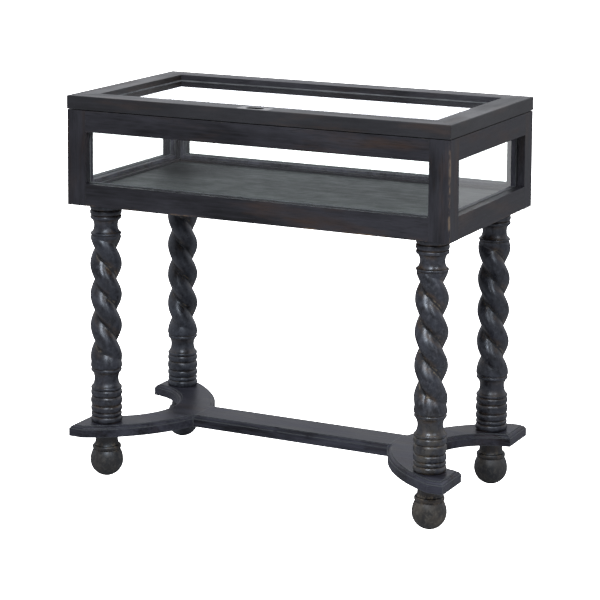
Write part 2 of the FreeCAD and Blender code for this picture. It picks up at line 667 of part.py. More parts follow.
def leg_master():
    """Two strands twisted left-handed between a lower and an upper turned collar."""
    body = doc.addObject("PartDesign::Body", "leg_blank")
    strands = new_sketch(body, "strand_section", "XY_Plane", D.twist_start)
    half = D.strand_radius.value
    offset = D.strand_offset.value
    angle = math.atan2(math.sqrt(half ** 2 - offset ** 2), -offset)
    for number, sign in enumerate((1, -1)):
        turn = 0 if sign > 0 else math.pi
        circle = Part.Circle(V(sign * offset, 0, 0), V(0, 0, 1), half)
        strands.addGeometry(Part.ArcOfCircle(circle, turn - angle, turn + angle), False)
        radius = strands.addConstraint(Sketcher.Constraint("Radius", number, half))
        strands.setExpression("Constraints[%d]" % radius, D.strand_radius.text)
        fix_point(strands, number, 3, sign * D.strand_offset, 0)
    for first, second in ((0, 1), (1, 0)):
        strands.addConstraint(Sketcher.Constraint("Coincident", first, 2, second, 1))
    lead = doc.addObject("Part::Helix", "strand_lead")
    lead.LocalCoord = "Left-handed"
    bind(lead, Pitch=D.twist_lead, Height=D.twist_rise, Radius=D.strand_offset)
    at(lead, z=D.twist_start)
    doc.recompute()
    twist = body.newObject("PartDesign::AdditivePipe", "twist")
    twist.Profile = strands
    twist.Spine = (lead, [])
    twist.Mode = "Frenet"
    groove = D.leg_groove
    lower = [(D.base_bead, D.leg_bead, groove), (D.small_bead, D.leg_ring, groove),
             (D.middle_bead, D.leg_bead, groove), (D.large_bead, D.leg_bead, groove),
             (D.upper_bead, D.leg_bead, groove), (D.lip_bead, D.leg_ring, groove),
             (D.lower_cove, D.leg_cove, groove), (D.lower_ring, D.leg_ring, groove)]
    corners = turned_outline(lower, groove, ORIGIN)[:-1]
    height = corners[-1][1]
    run = D.leg_swell - D.leg_core
    ogive = (D.run_out * D.run_out + run * run) / (2 * run)
    corners += [(D.leg_swell, height), (D.leg_swell, height + D.swell_band, ogive, 1),
                (D.leg_core, height + D.swell_band + D.run_out), (0, height + D.swell_band + D.run_out)]
    revolve(body, "lower_collar", corners)
    upper = [(D.collar_bead, D.leg_bead, groove), (D.collar_lip, D.leg_bead, groove),
             (D.upper_cove, D.leg_cove, groove), (D.neck_ring, D.leg_ring, groove),
             (D.neck_bead, D.leg_bead, groove), (D.top_band, D.leg_bead, groove)]
    rises = [member[0] for member in upper]
    start = LEG_RISE - sum(rises[1:], rises[0])
    corners = turned_outline(upper, groove, start)
    ogive = (D.run_in * D.run_in + run * run) / (2 * run)
    low = start - D.swell_band / 2
    corners = [(0, low - D.run_in), (D.leg_core, low - D.run_in, ogive, 1), (D.leg_swell, low),
               (D.leg_swell, start)] + corners[1:]
    revolve(body, "upper_collar", corners)
    return body


def build_legs(foot_bolt_ways):
    wide_bolt = D.bolt_radius + D.bolt_fit
    upper_way = rod("leg_upper_way", wide_bolt, D.hanger_down, z=LEG_RISE - D.hanger_down)
    lower_way = rod("leg_lower_way", wide_bolt, D.foot_bolt_up)
    leg = cut("leg_bored", leg_master(), [upper_way, lower_way])
    body = doc.addObject("PartDesign::Body", "foot_blank")
    neck_rise = STRETCHER_BASE - D.ball_rise - D.foot_ring_rise
    corners = [(0, 0), (D.foot_pad, 0, D.ball_radius, 1)]
    corners += turned_outline([(D.foot_ring_rise, D.foot_ring, D.foot_groove),
                               (neck_rise, D.foot_neck, D.foot_top)], D.foot_groove, D.ball_rise)[1:]
    revolve(body, "foot_turning", corners)
    for depth, side in CORNERS:
        corner = "%s_%s" % (depth, side)
        x = SIGN[side] * LEG_X
        y = SIGN[depth] * LEG_Y
        placed = copy("leg_" + corner, leg, x, y, D.stretcher_top)
        placed.setExpression("Placement.Rotation.Angle", "sizes.turn_%s * 1 deg" % corner)
        keep("leg_" + corner, placed)
        keep("foot_" + corner, cut("foot_" + corner, copy("foot_set_" + corner, body, x, y),
                                   [foot_bolt_ways]))


def stretcher_corners():
    """The H outline: crescent ends with their hollows outward, joined by a straight bar."""
    waist = D.tip_reach - D.crescent_waist
    hollow = (D.tip_inner * D.tip_inner + waist * waist) / (2 * waist)
    back = D.crescent_back
    corners = []
    for sign in (1, -1):
        corners += [
            (sign * D.back_reach, -sign * D.bar_half_width, back, 1),
            (sign * D.tip_shoulder, -sign * D.tip_outer),
            (sign * D.tip_reach, -sign * D.tip_outer),
            (sign * D.tip_reach, -sign * D.tip_inner, hollow, -1),
            (sign * D.tip_reach, sign * D.tip_inner),
            (sign * D.tip_reach, sign * D.tip_outer),
            (sign * D.tip_shoulder, sign * D.tip_outer, back, 1),
            (sign * D.back_reach, sign * D.bar_half_width)]
    return corners


def stretcher_layer(name, outline, inset, base, rise):
    face = outline
    if inset is not None:
        face = doc.addObject("Part::Offset2D", name + "_inset")
        face.Source = outline
        face.Join = "Intersection"
        bind(face, Value=-inset)
    layer = doc.addObject("Part::Extrusion", name)
    layer.Base = face
    layer.DirMode = "Custom"
    layer.Dir = V(0, 0, 1)
    layer.Solid = True
    bind(layer, LengthFwd=rise)
    return copy(name + "_set", layer, z=base)


def build_stretcher(foot_bolt_ways):
    outline = draw_outline(doc.addObject("Sketcher::SketchObject", "stretcher_outline"), stretcher_corners())
    edge_top = D.stretcher_top - D.moulding_drop
    round_top = D.stretcher_top - D.moulding_cap
    board = stretcher_layer("stretcher_board", outline, None, STRETCHER_BASE, edge_top - STRETCHER_BASE)
    quarter = stretcher_layer("stretcher_quarter", outline, D.moulding_lip, edge_top, round_top - edge_top)
    cap = stretcher_layer("stretcher_cap", outline, D.moulding_inset, round_top, D.moulding_cap)
    doc.recompute()
    rounded = doc.addObject("Part::Fillet", "stretcher_ovolo")
    rounded.Base = quarter
    crown = picked_edges(quarter.Shape, lambda p, e: near(p.z, round_top.value))
    rounded.Edges = [(number, D.moulding_round.value, D.moulding_round.value) for number in crown]
    blank = fuse("stretcher_blank", [board, rounded, cap])
    dowels = {}
    for name, gap in (("stretcher_dowels", as_size(0)), ("stretcher_dowel_holes", D.glue_gap)):
        length = D.bar_dowel_length + 2 * gap
        rods = [rod("%s_%+d_%+d" % (name, x, y), D.bar_dowel_radius + gap, length,
                    x * D.joint_reach - length / 2, y * D.bar_dowel_pitch / 2,
                    (STRETCHER_BASE + D.stretcher_top) / 2, TO_RIGHT) for x in (-1, 1) for y in (-1, 1)]
        dowels[name] = group(name, rods)
    keep("stretcher_dowels", dowels["stretcher_dowels"])
    whole = cut("stretcher_whole", blank, [dowels["stretcher_dowel_holes"], foot_bolt_ways])
    end_span = D.tip_reach - D.joint_reach + 10
    zones = [("stretcher_bar", 2 * D.joint_reach, 0)]
    for side in ("left", "right"):
        zones.append(("stretcher_end_" + side, end_span, SIGN[side] * (D.joint_reach + end_span / 2)))
    for name, span, x in zones:
        piece = doc.addObject("Part::Common", name)
        piece.Base = whole
        piece.Tool = block(name + "_zone", span, 3 * D.tip_outer, D.stretcher_top, x)
        keep(name, piece)


# ---- assembly and export ----

def build():
    fill_sheet()
    nut_seats, foot_bolt_ways = build_bolts()
    dowels = rail_dowel_rods("rail_dowel", D.dowel_radius, D.dowel_length)
    dowel_holes = group("rail_dowel_holes", rail_dowel_rods(
        "rail_dowel_hole", D.dowel_radius + D.glue_gap, D.dowel_length + 2 * D.glue_gap))
    keep("rail_dowels", group("rail_dowels", dowels))
    back_notch = prism_body("back_notch", [
        (PIN_Y, PIN_Z), (PIN_Y + D.notch_reach, PIN_Z - D.notch_rise),
        (PIN_Y + D.notch_reach, PIN_Z + D.notch_rise)], D.case_length + 2 * D.post_side)
    short_screw = screw_master("short_screw", D.short_screw)
    case_hinge_cuts, lid_hinge_cuts = build_hinges(short_screw)
    batten_holes = build_case_floor(nut_seats)
    rebates = window_rebates()
    build_frame(rebates, group("rail_holes", [dowel_holes, batten_holes]), back_notch, case_hinge_cuts)
    build_glazing()
    build_lid(back_notch, lid_hinge_cuts, build_pull(short_screw))
    build_legs(foot_bolt_ways)
    build_stretcher(foot_bolt_ways)
    doc.recompute()


def check_and_export():
    for obj in doc.Objects:
        if "Invalid" in obj.State or "Error" in obj.State:
            raise RuntimeError("%s did not build: %s" % (obj.Name, obj.State))
    os.makedirs("parts", exist_ok=True)
    for name, piece in pieces.items():
        if piece.Shape.isNull() or not piece.Shape.isValid():
            raise RuntimeError("%s has no valid shape" % name)
        piece.Shape.exportStep("parts/%s.step" % name)
    print("%d pieces, %d solids" % (len(pieces), sum(len(p.Shape.Solids) for p in pieces.values())))


build()
check_and_export()
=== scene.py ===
# Looks for the glazed display table: near-black stained wood worn at its edges, clear panes, a grey
# floor board and aged fittings, in a white studio. Lengths are in metres unless a comment or a name
# says otherwise.
import math

import bmesh
import bpy
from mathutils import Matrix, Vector, noise as smooth_noise


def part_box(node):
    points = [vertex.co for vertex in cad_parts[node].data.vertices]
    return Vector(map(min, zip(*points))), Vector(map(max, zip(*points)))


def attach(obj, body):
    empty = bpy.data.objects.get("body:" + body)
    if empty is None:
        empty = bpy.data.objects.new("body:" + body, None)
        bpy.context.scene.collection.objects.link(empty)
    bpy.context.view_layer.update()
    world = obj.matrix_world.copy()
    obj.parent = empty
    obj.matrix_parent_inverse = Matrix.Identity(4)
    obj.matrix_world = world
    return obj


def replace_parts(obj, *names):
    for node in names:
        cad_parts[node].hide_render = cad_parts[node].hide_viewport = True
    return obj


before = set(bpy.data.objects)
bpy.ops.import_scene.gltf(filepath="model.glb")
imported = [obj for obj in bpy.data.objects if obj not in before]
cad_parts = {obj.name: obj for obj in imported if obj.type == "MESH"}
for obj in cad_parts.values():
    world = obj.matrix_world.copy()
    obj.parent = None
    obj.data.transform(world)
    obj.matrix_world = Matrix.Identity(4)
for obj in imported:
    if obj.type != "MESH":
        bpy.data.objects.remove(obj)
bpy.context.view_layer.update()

CORNERS = ("front_left", "front_right", "back_left", "back_right")
PLACES = ("front", "back", "left", "right")
WINDOW_PANES = ["pane_" + place for place in PLACES]
RECTANGLE = ((-1, -1), (1, -1), (1, 1), (-1, 1))
WHITE = (1.0, 1.0, 1.0, 1.0)


# ---- node helpers ----

def add(tree, kind, inputs=None, **settings):
    """Adds a node. An input is a socket's name or number, with a value or another node's output."""
    node = tree.nodes.new(kind)
    for name, value in settings.items():
        setattr(node, name, value)
    for key, value in (inputs or {}).items():
        if isinstance(value, bpy.types.NodeSocket):
            tree.links.new(value, node.inputs[key])
        else:
            node.inputs[key].default_value = value
    return node


def calc(tree, operation, first, second=0.0):
    return add(tree, "ShaderNodeMath", {0: first, 1: second}, operation=operation).outputs[0]


def product(tree, first, *others):
    for factor in others:
        first = calc(tree, "MULTIPLY", first, factor)
    return first


def vector_calc(tree, operation, first, second=(0.0, 0.0, 0.0)):
    """A vector, or a number where the operation gives one."""
    node = add(tree, "ShaderNodeVectorMath", {0: first, 1: second}, operation=operation)
    return node.outputs["Value" if operation in ("DOT_PRODUCT", "LENGTH") else "Vector"]


def remap(tree, value, low, high, to_low=0.0, to_high=1.0):
    """Takes low..high to to_low..to_high, and stays at the ends of that range outside it."""
    node = add(tree, "ShaderNodeMapRange", {"Value": value, "From Min": low, "From Max": high,
                                            "To Min": to_low, "To Max": to_high})
    return node.outputs["Result"]


def rgba(colour):
    return colour if isinstance(colour, bpy.types.NodeSocket) else (*colour, 1.0)


def blend_colours(tree, factor, first, second):
    """The first colour where the factor is 0 and the second where it is 1. A colour is linear."""
    first_socket, second_socket, result = 6, 7, 2
    inputs = {0: factor, first_socket: rgba(first), second_socket: rgba(second)}
    node = add(tree, "ShaderNodeMix", inputs, data_type="RGBA")
    return node.outputs[result]


def at_rest(tree, output="Object"):
    """The place, or the "Normal", that a point has in the frame at rest, wherever the lid is."""
    return add(tree, "ShaderNodeTexCoord").outputs[output]


def axes(tree, vector):
    return add(tree, "ShaderNodeSeparateXYZ", {0: vector}).outputs


# How far noise moves along each axis for one unit of a piece's random number.
PIECE_SHIFT = (7.3, 3.1, 1.0)


def noise(tree, scales, detail, roughness=0.55, distortion=0.0, seed=0.0):
    """Noise over the place at rest, scaled along each axis and shifted at random for each piece."""
    chance = calc(tree, "ADD", add(tree, "ShaderNodeObjectInfo").outputs["Random"], seed)
    shift = add(tree, "ShaderNodeVectorMath", {0: PIECE_SHIFT, "Scale": chance}, operation="SCALE")
    place = vector_calc(tree, "ADD", at_rest(tree), shift.outputs["Vector"])
    node = add(tree, "ShaderNodeTexNoise", {
        "Vector": vector_calc(tree, "MULTIPLY", place, scales), "Scale": 1.0, "Detail": detail,
        "Roughness": roughness, "Distortion": distortion})
    return node.outputs["Fac"]


def bump(tree, height, strength, depth, onto=None):
    """A bumped normal. It starts from the normal "onto", or from the face's own."""
    inputs = {"Height": height, "Strength": strength, "Distance": depth}
    if onto is not None:
        inputs["Normal"] = onto
    return add(tree, "ShaderNodeBump", inputs).outputs[0]


def new_material(name):
    material = bpy.data.materials.new(name)
    material.use_nodes = True
    material.node_tree.nodes.clear()
    return material, material.node_tree


def finish_material(tree, shader):
    output = add(tree, "ShaderNodeOutputMaterial")
    tree.links.new(shader, output.inputs["Surface"])


def finish_principled(tree, inputs):
    finish_material(tree, add(tree, "ShaderNodeBsdfPrincipled", inputs).outputs[0])


# ---- case and stretcher wood ----

# The case's half sizes across and its lowest edge, which the wear follows.
POST_LOW, POST_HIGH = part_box("post_front_right")
CASE_HALF, CASE_BASE = (POST_HIGH[0], -POST_LOW[1]), POST_LOW[2]
# How far in from the case's sides, and up from its base, the wear has faded out or is still full.
CORNER_FADED, CORNER_FULL = 0.0055, 0.001
SILL_FULL, SILL_FADED = 0.0012, 0.0045
ARRIS_RADIUS, SOFT_RADIUS = 0.0030, 0.0014
SLATE, BLACKENED = (0.026, 0.0245, 0.031), (0.0038, 0.0034, 0.0050)
UMBER, PORE = (0.040, 0.021, 0.013), (0.003, 0.003, 0.004)
DUSTY, CHALKY, SILVERY = (0.058, 0.052, 0.048), (0.20, 0.19, 0.17), (0.088, 0.092, 0.098)
CORNER_TAN, SILL_TAN = (0.27, 0.19, 0.12), (0.20, 0.13, 0.075)
GRAIN_LIFT, WEAR_EASE = 1.5, 0.16
BROWN_SEED, TAN_SEED = 3.7, 8.1


def along_grain(grain, along, across):
    """Noise scales for grain that runs along one axis."""
    return tuple(along if axis == grain else across for axis in "xyz")


def arris_mask(tree):
    """1 on the arrises, 0 on the flats, by how far a bevelled normal leans from the true one."""
    bevel = add(tree, "ShaderNodeBevel", {"Radius": ARRIS_RADIUS}, samples=6).outputs[0]
    normal = add(tree, "ShaderNodeNewGeometry").outputs["Normal"]
    lean = vector_calc(tree, "DOT_PRODUCT", bevel, normal)
    return remap(tree, calc(tree, "SUBTRACT", 1.0, lean), 0.004, 0.10)


def stained_wood(name, grain, wear=0.5, specular=0.42, warmth=0.8, lift=1.0, worn=DUSTY,
                 figure=0.5, tint=(1.0, 1.0, 1.0), corner_wear=0.0, sill_wear=0.0):
    """Near-black stain that lets the grain and some brown show, rubbed through at the arrises.

    lift and tint change the stain's colour, warmth is the share of brown, and figure is that of the
    grain. corner_wear rubs the case's outer corners, and sill_wear its lowest edge."""
    material, tree = new_material(name)
    slate = tuple(lift * s * t for s, t in zip(SLATE, tint))
    pale = tuple(GRAIN_LIFT * c for c in slate)
    fine = noise(tree, along_grain(grain, 9.0, 210.0), 5.0, 0.65)
    pores = noise(tree, along_grain(grain, 27.0, 630.0), 2.0, 0.5)
    cloud = noise(tree, along_grain(grain, 5.0, 20.0), 4.0, 0.6)
    brown = noise(tree, along_grain(grain, 4.0, 20.0), 4.0, 0.6, seed=BROWN_SEED)
    colour = blend_colours(tree, remap(tree, cloud, 0.36, 0.66), BLACKENED, slate)
    colour = blend_colours(tree, remap(tree, brown, 0.52, 0.70, 0.0, warmth), colour, UMBER)
    colour = blend_colours(tree, remap(tree, fine, 0.40, 0.76, 0.0, figure), colour, pale)
    colour = blend_colours(tree, remap(tree, pores, 0.56, 0.70, 0.0, 0.6), colour, PORE)

    patches = noise(tree, (30.0, 30.0, 30.0), 6.0, 0.72)
    eased = WEAR_EASE * wear
    through = product(tree, arris_mask(tree), remap(tree, patches, 0.62 - eased, 0.72 - eased))
    colour = blend_colours(tree, through, colour, worn)
    place = axes(tree, at_rest(tree))
    if corner_wear:
        away = [calc(tree, "ABSOLUTE", place[axis]) for axis in ("X", "Y")]
        near = [remap(tree, distance, side - CORNER_FADED, side - CORNER_FULL)
                for distance, side in zip(away, CASE_HALF)]
        nicked = noise(tree, (90.0, 90.0, 22.0), 5.0, 0.7)
        arris = product(tree, *near, remap(tree, nicked, 0.47, 0.60, 0.0, corner_wear))
        colour = blend_colours(tree, arris, colour, CORNER_TAN)
    if sill_wear:
        low = remap(tree, place["Z"], CASE_BASE + SILL_FULL, CASE_BASE + SILL_FADED, sill_wear, 0.0)
        nicked = noise(tree, (16.0, 16.0, 60.0), 5.0, 0.7)
        arris = product(tree, low, remap(tree, nicked, 0.50, 0.62))
        colour = blend_colours(tree, arris, colour, SILL_TAN)

    relief = calc(tree, "ADD", product(tree, fine, 0.6), product(tree, pores, 0.4))
    softened = add(tree, "ShaderNodeBevel", {"Radius": SOFT_RADIUS}, samples=4).outputs[0]
    finish_principled(tree, {
        "Base Color": colour, "Roughness": remap(tree, cloud, 0.3, 0.7, 0.31, 0.52),
        "Specular IOR Level": specular,
        "Normal": bump(tree, relief, 0.5, depth=0.0008, onto=softened)})
    return material


# ---- turned wood ----

# Stains for turned wood: in the shade of the figure, between, and on its crests. The first is also
# painted on the limbs as shade.
LEG_STAIN = ((0.0045, 0.0046, 0.0066), (0.025, 0.026, 0.034), (0.058, 0.060, 0.071))
HANDLED_LEG_STAIN = (LEG_STAIN[0], LEG_STAIN[1], (0.076, 0.077, 0.088))
FADED_LEG_STAIN = ((0.012, 0.013, 0.017), (0.046, 0.050, 0.062), (0.075, 0.080, 0.094))
FOOT_STAIN = ((0.008, 0.0080, 0.0080), (0.040, 0.034, 0.027), (0.080, 0.074, 0.062))
HANDLED_FOOT_STAIN = ((0.020, 0.017, 0.013), (0.075, 0.060, 0.042), (0.14, 0.125, 0.10))
TURNED_BROWNS = (0.014, 0.011, 0.008), (0.090, 0.054, 0.030)
GROOVE_SHADE, LOW_TAN, SCUFF_TAN = (0.0024, 0.0022, 0.0022), (0.080, 0.069, 0.050), (0.21, 0.165, 0.11)
BLUISH = (0.88, 0.92, 1.0, 1.0)
# Heights over which the wear of the lower collar fades, and the twist's bump comes and goes.
LOW_WEAR_FADES = 0.21, 0.29
TWIST_COMES, TWIST_GOES = (0.26, 0.29), (0.60, 0.63)
COLLAR_BUMP, TWIST_BUMP = 0.09, 0.42


def turned_wood(name, stain, warmth=0.6, wear=0.5, roughness=0.31, low_wear=0.0):
    """Stained turning: satin on the rounds, painted shade in the hollows and on the limbs, brown
    and tan where it is handled.

    Its relief attribute is 0 in a groove and 1 on a crest."""
    dark, middle, pale = stain
    material, tree = new_material(name)
    relief = add(tree, "ShaderNodeAttribute", attribute_name="relief").outputs["Fac"]
    rise = axes(tree, at_rest(tree))["Z"]
    limb = add(tree, "ShaderNodeLayerWeight", {"Blend": 0.5}).outputs["Facing"]
    mottle = noise(tree, (120.0, 120.0, 90.0), 5.0, 0.65, 0.4)
    cloud = noise(tree, (36.0, 36.0, 28.0), 4.0, 0.6, 0.5)
    brown = noise(tree, (26.0, 26.0, 22.0), 5.0, 0.65, 0.5, seed=BROWN_SEED)
    tan = noise(tree, (60.0, 60.0, 60.0), 6.0, 0.72, seed=TAN_SEED)
    colour = blend_colours(tree, remap(tree, cloud, 0.38, 0.64), dark, middle)
    colour = blend_colours(tree, remap(tree, mottle, 0.48, 0.74, 0.0, 0.8), colour, pale)

    hollow = remap(tree, relief, 0.55, 0.92, 1.0, 0.06)
    stained = product(tree, remap(tree, brown, 0.40, 0.58, 0.0, warmth), hollow)
    umber = blend_colours(tree, remap(tree, tan, 0.38, 0.62), *TURNED_BROWNS)
    colour = blend_colours(tree, stained, colour, umber)
    # Painted shade: where the relief is low, in grooves and coves, the colour darkens towards
    # GROOVE_SHADE.
    colour = blend_colours(tree, remap(tree, relief, 0.0, 0.58, 0.96, 0.0), colour, GROOVE_SHADE)

    band = product(tree, remap(tree, relief, 0.10, 0.20), remap(tree, relief, 0.24, 0.40, 1.0, 0.0))
    low = product(tree, remap(tree, rise, *LOW_WEAR_FADES, 1.0, 0.0),
                  remap(tree, brown, 0.42, 0.62, 0.0, low_wear))
    colour = blend_colours(tree, product(tree, low, remap(tree, relief, 0.2, 0.6)), colour, LOW_TAN)
    handled = calc(tree, "MAXIMUM", low, remap(tree, tan, 0.49, 0.60, 0.0, wear))
    scuffs = remap(tree, tan, 0.67, 0.73, 0.0, 0.4 * wear)
    rubbed = calc(tree, "MAXIMUM", product(tree, band, handled), scuffs)
    colour = blend_colours(tree, rubbed, colour, SCUFF_TAN)
    # Painted shade: the limbs, where a face turns from the eye, are darkened towards the dark
    # stain.
    colour = blend_colours(tree, remap(tree, limb, 0.55, 0.95, 0.0, 0.6), colour, dark)

    twisted = product(tree, remap(tree, rise, *TWIST_COMES),
                      remap(tree, rise, *TWIST_GOES, 1.0, 0.0))
    lumps = calc(tree, "ADD", product(tree, mottle, 0.5), product(tree, cloud, 2.2))
    strength = remap(tree, twisted, 0.0, 1.0, COLLAR_BUMP, TWIST_BUMP)
    finish_principled(tree, {
        "Base Color": colour, "Specular Tint": BLUISH,
        "Specular IOR Level": remap(tree, limb, 0.45, 0.95, 0.66, 0.12),
        "Roughness": remap(tree, cloud, 0.3, 0.7, roughness - 0.05, roughness + 0.13),
        "Normal": bump(tree, lumps, strength, depth=0.0010)})
    return material


# ---- floor board, glass, metal and plain materials ----

BOARD_DARK, BOARD_GREY = (0.026, 0.031, 0.030), (0.082, 0.090, 0.085)
BOARD_PALE = (0.125, 0.130, 0.122)
BLOT, SMUDGE, SHADOW_LINE = (0.024, 0.027, 0.025), (0.012, 0.013, 0.012), (0.014, 0.016, 0.016)
SMUDGE_PLACE, SMUDGE_SHAPE, SMUDGE_FADES = (-0.355, 0.10, 0.69), (0.75, 1.0, 1.0), (0.03, 0.13)
SHADOW_LINE_X, SHADOW_LINE_FADES = 0.08, (0.001, 0.007)
GLASS_TINT, GLASS_IOR = (0.965, 0.98, 0.975), 1.5
NICKEL, BRASS, STEEL = (0.46, 0.455, 0.45), (0.30, 0.22, 0.11), (0.45, 0.45, 0.46)
TARNISH = (0.10, 0.09, 0.08)
BLOCK_BROWNS = (0.24, 0.16, 0.10), (0.13, 0.085, 0.05)
DOWEL_BROWNS = (0.55, 0.40, 0.24), (0.38, 0.26, 0.15)
PUTTY_GREYS = (0.17, 0.175, 0.18), (0.07, 0.072, 0.075)
FELT_GREYS = (0.010, 0.010, 0.010), (0.035, 0.034, 0.034)


def floor_board():
    """Grey-green stained board with streaks along it, a dark smudge at the back and a painted
    shadow line from front to back.
    """
    material, tree = new_material("floor_board")
    streaks = noise(tree, (9.0, 120.0, 120.0), 6.0, 0.70)
    fine = noise(tree, (16.0, 260.0, 260.0), 3.0, 0.6)
    blots = noise(tree, (14.0, 26.0, 26.0), 5.0, 0.65)
    colour = blend_colours(tree, remap(tree, streaks, 0.38, 0.62), BOARD_DARK, BOARD_GREY)
    colour = blend_colours(tree, remap(tree, fine, 0.45, 0.70, 0.0, 0.55), colour, BOARD_PALE)
    colour = blend_colours(tree, remap(tree, blots, 0.36, 0.56, 0.6, 0.0), colour, BLOT)

    place = at_rest(tree)
    apart = vector_calc(tree, "SUBTRACT", place, SMUDGE_PLACE)
    away = vector_calc(tree, "LENGTH", vector_calc(tree, "MULTIPLY", apart, SMUDGE_SHAPE))
    smudge = product(tree, remap(tree, away, *SMUDGE_FADES, 1.0, 0.0),
                     remap(tree, blots, 0.35, 0.60, 0.65, 1.0))
    colour = blend_colours(tree, smudge, colour, SMUDGE)
    # Painted shadow: a dark line runs from front to back at SHADOW_LINE_X.
    beside = calc(tree, "ABSOLUTE", calc(tree, "SUBTRACT", axes(tree, place)["X"], SHADOW_LINE_X))
    colour = blend_colours(tree, remap(tree, beside, *SHADOW_LINE_FADES, 0.55, 0.0), colour, SHADOW_LINE)

    sheen = product(tree, remap(tree, streaks, 0.36, 0.64, 0.36, 0.66),
                    remap(tree, smudge, 0.0, 1.0, 1.0, 0.08))
    finish_principled(tree, {
        "Base Color": colour, "Roughness": remap(tree, blots, 0.35, 0.65, 0.60, 0.45),
        "Specular IOR Level": sheen, "Normal": bump(tree, streaks, 0.3, depth=0.0006)})
    return material


def pane_glass(name):
    """Clear float glass. Light goes straight through, but for what the near face mirrors."""
    material, tree = new_material(name)
    clear = add(tree, "ShaderNodeBsdfTransparent", {"Color": rgba(GLASS_TINT)}).outputs[0]
    mirror = add(tree, "ShaderNodeBsdfGlossy", {"Color": WHITE, "Roughness": 0.0}).outputs[0]
    one_face = add(tree, "ShaderNodeFresnel", {"IOR": GLASS_IOR}).outputs[0]
    both_faces = calc(tree, "DIVIDE", product(tree, one_face, 2.0),
                      calc(tree, "ADD", one_face, 1.0))
    behind = add(tree, "ShaderNodeNewGeometry").outputs["Backfacing"]
    share = product(tree, both_faces, calc(tree, "SUBTRACT", 1.0, behind))
    shader = add(tree, "ShaderNodeMixShader", {0: share, 1: clear, 2: mirror})
    finish_material(tree, shader.outputs[0])
    return material


def metal(name, colour, roughness, upright=1.0):
    """Aged metal. Faces that don't look up or down keep the share "upright" of its colour, as
    painted shade.
    """
    material, tree = new_material(name)
    brushing = noise(tree, (400.0, 20.0, 400.0), 3.0)
    stains = noise(tree, (90.0, 90.0, 90.0), 4.0)
    shade = blend_colours(tree, remap(tree, stains, 0.5, 0.75, 0.0, 0.7), colour, TARNISH)
    upward = calc(tree, "ABSOLUTE", axes(tree, at_rest(tree, "Normal"))["Z"])
    painted_shade = tuple(upright * c for c in colour)
    shade = blend_colours(tree, remap(tree, upward, 0.3, 0.8, upright, 1.0), painted_shade, shade)
    finish_principled(tree, {
        "Base Color": shade, "Metallic": 1.0, "Normal": bump(tree, brushing, 0.2, depth=0.0002),
        "Roughness": remap(tree, brushing, 0.3, 0.7, roughness - 0.06, roughness + 0.12)})
    return material


def raw_wood(name, light, dark):
    material, tree = new_material(name)
    grain = noise(tree, (30.0, 130.0, 130.0), 4.0, 0.6)
    colour = blend_colours(tree, remap(tree, grain, 0.3, 0.7), dark, light)
    finish_principled(tree, {"Base Color": colour, "Roughness": 0.7,
                             "Normal": bump(tree, grain, 0.3, depth=0.0005)})
    return material


def felt():
    material, tree = new_material("felt")
    fibres = noise(tree, (2500.0, 2500.0, 2500.0), 3.0)
    finish_principled(tree, {
        "Base Color": blend_colours(tree, fibres, *FELT_GREYS), "Roughness": 0.95,
        "Sheen Weight": 0.4, "Normal": bump(tree, fibres, 0.6, depth=0.0003)})
    return material


def dress(material, *names):
    for name in names:
        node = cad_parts[name]
        node.data.materials.clear()
        node.data.materials.append(material)


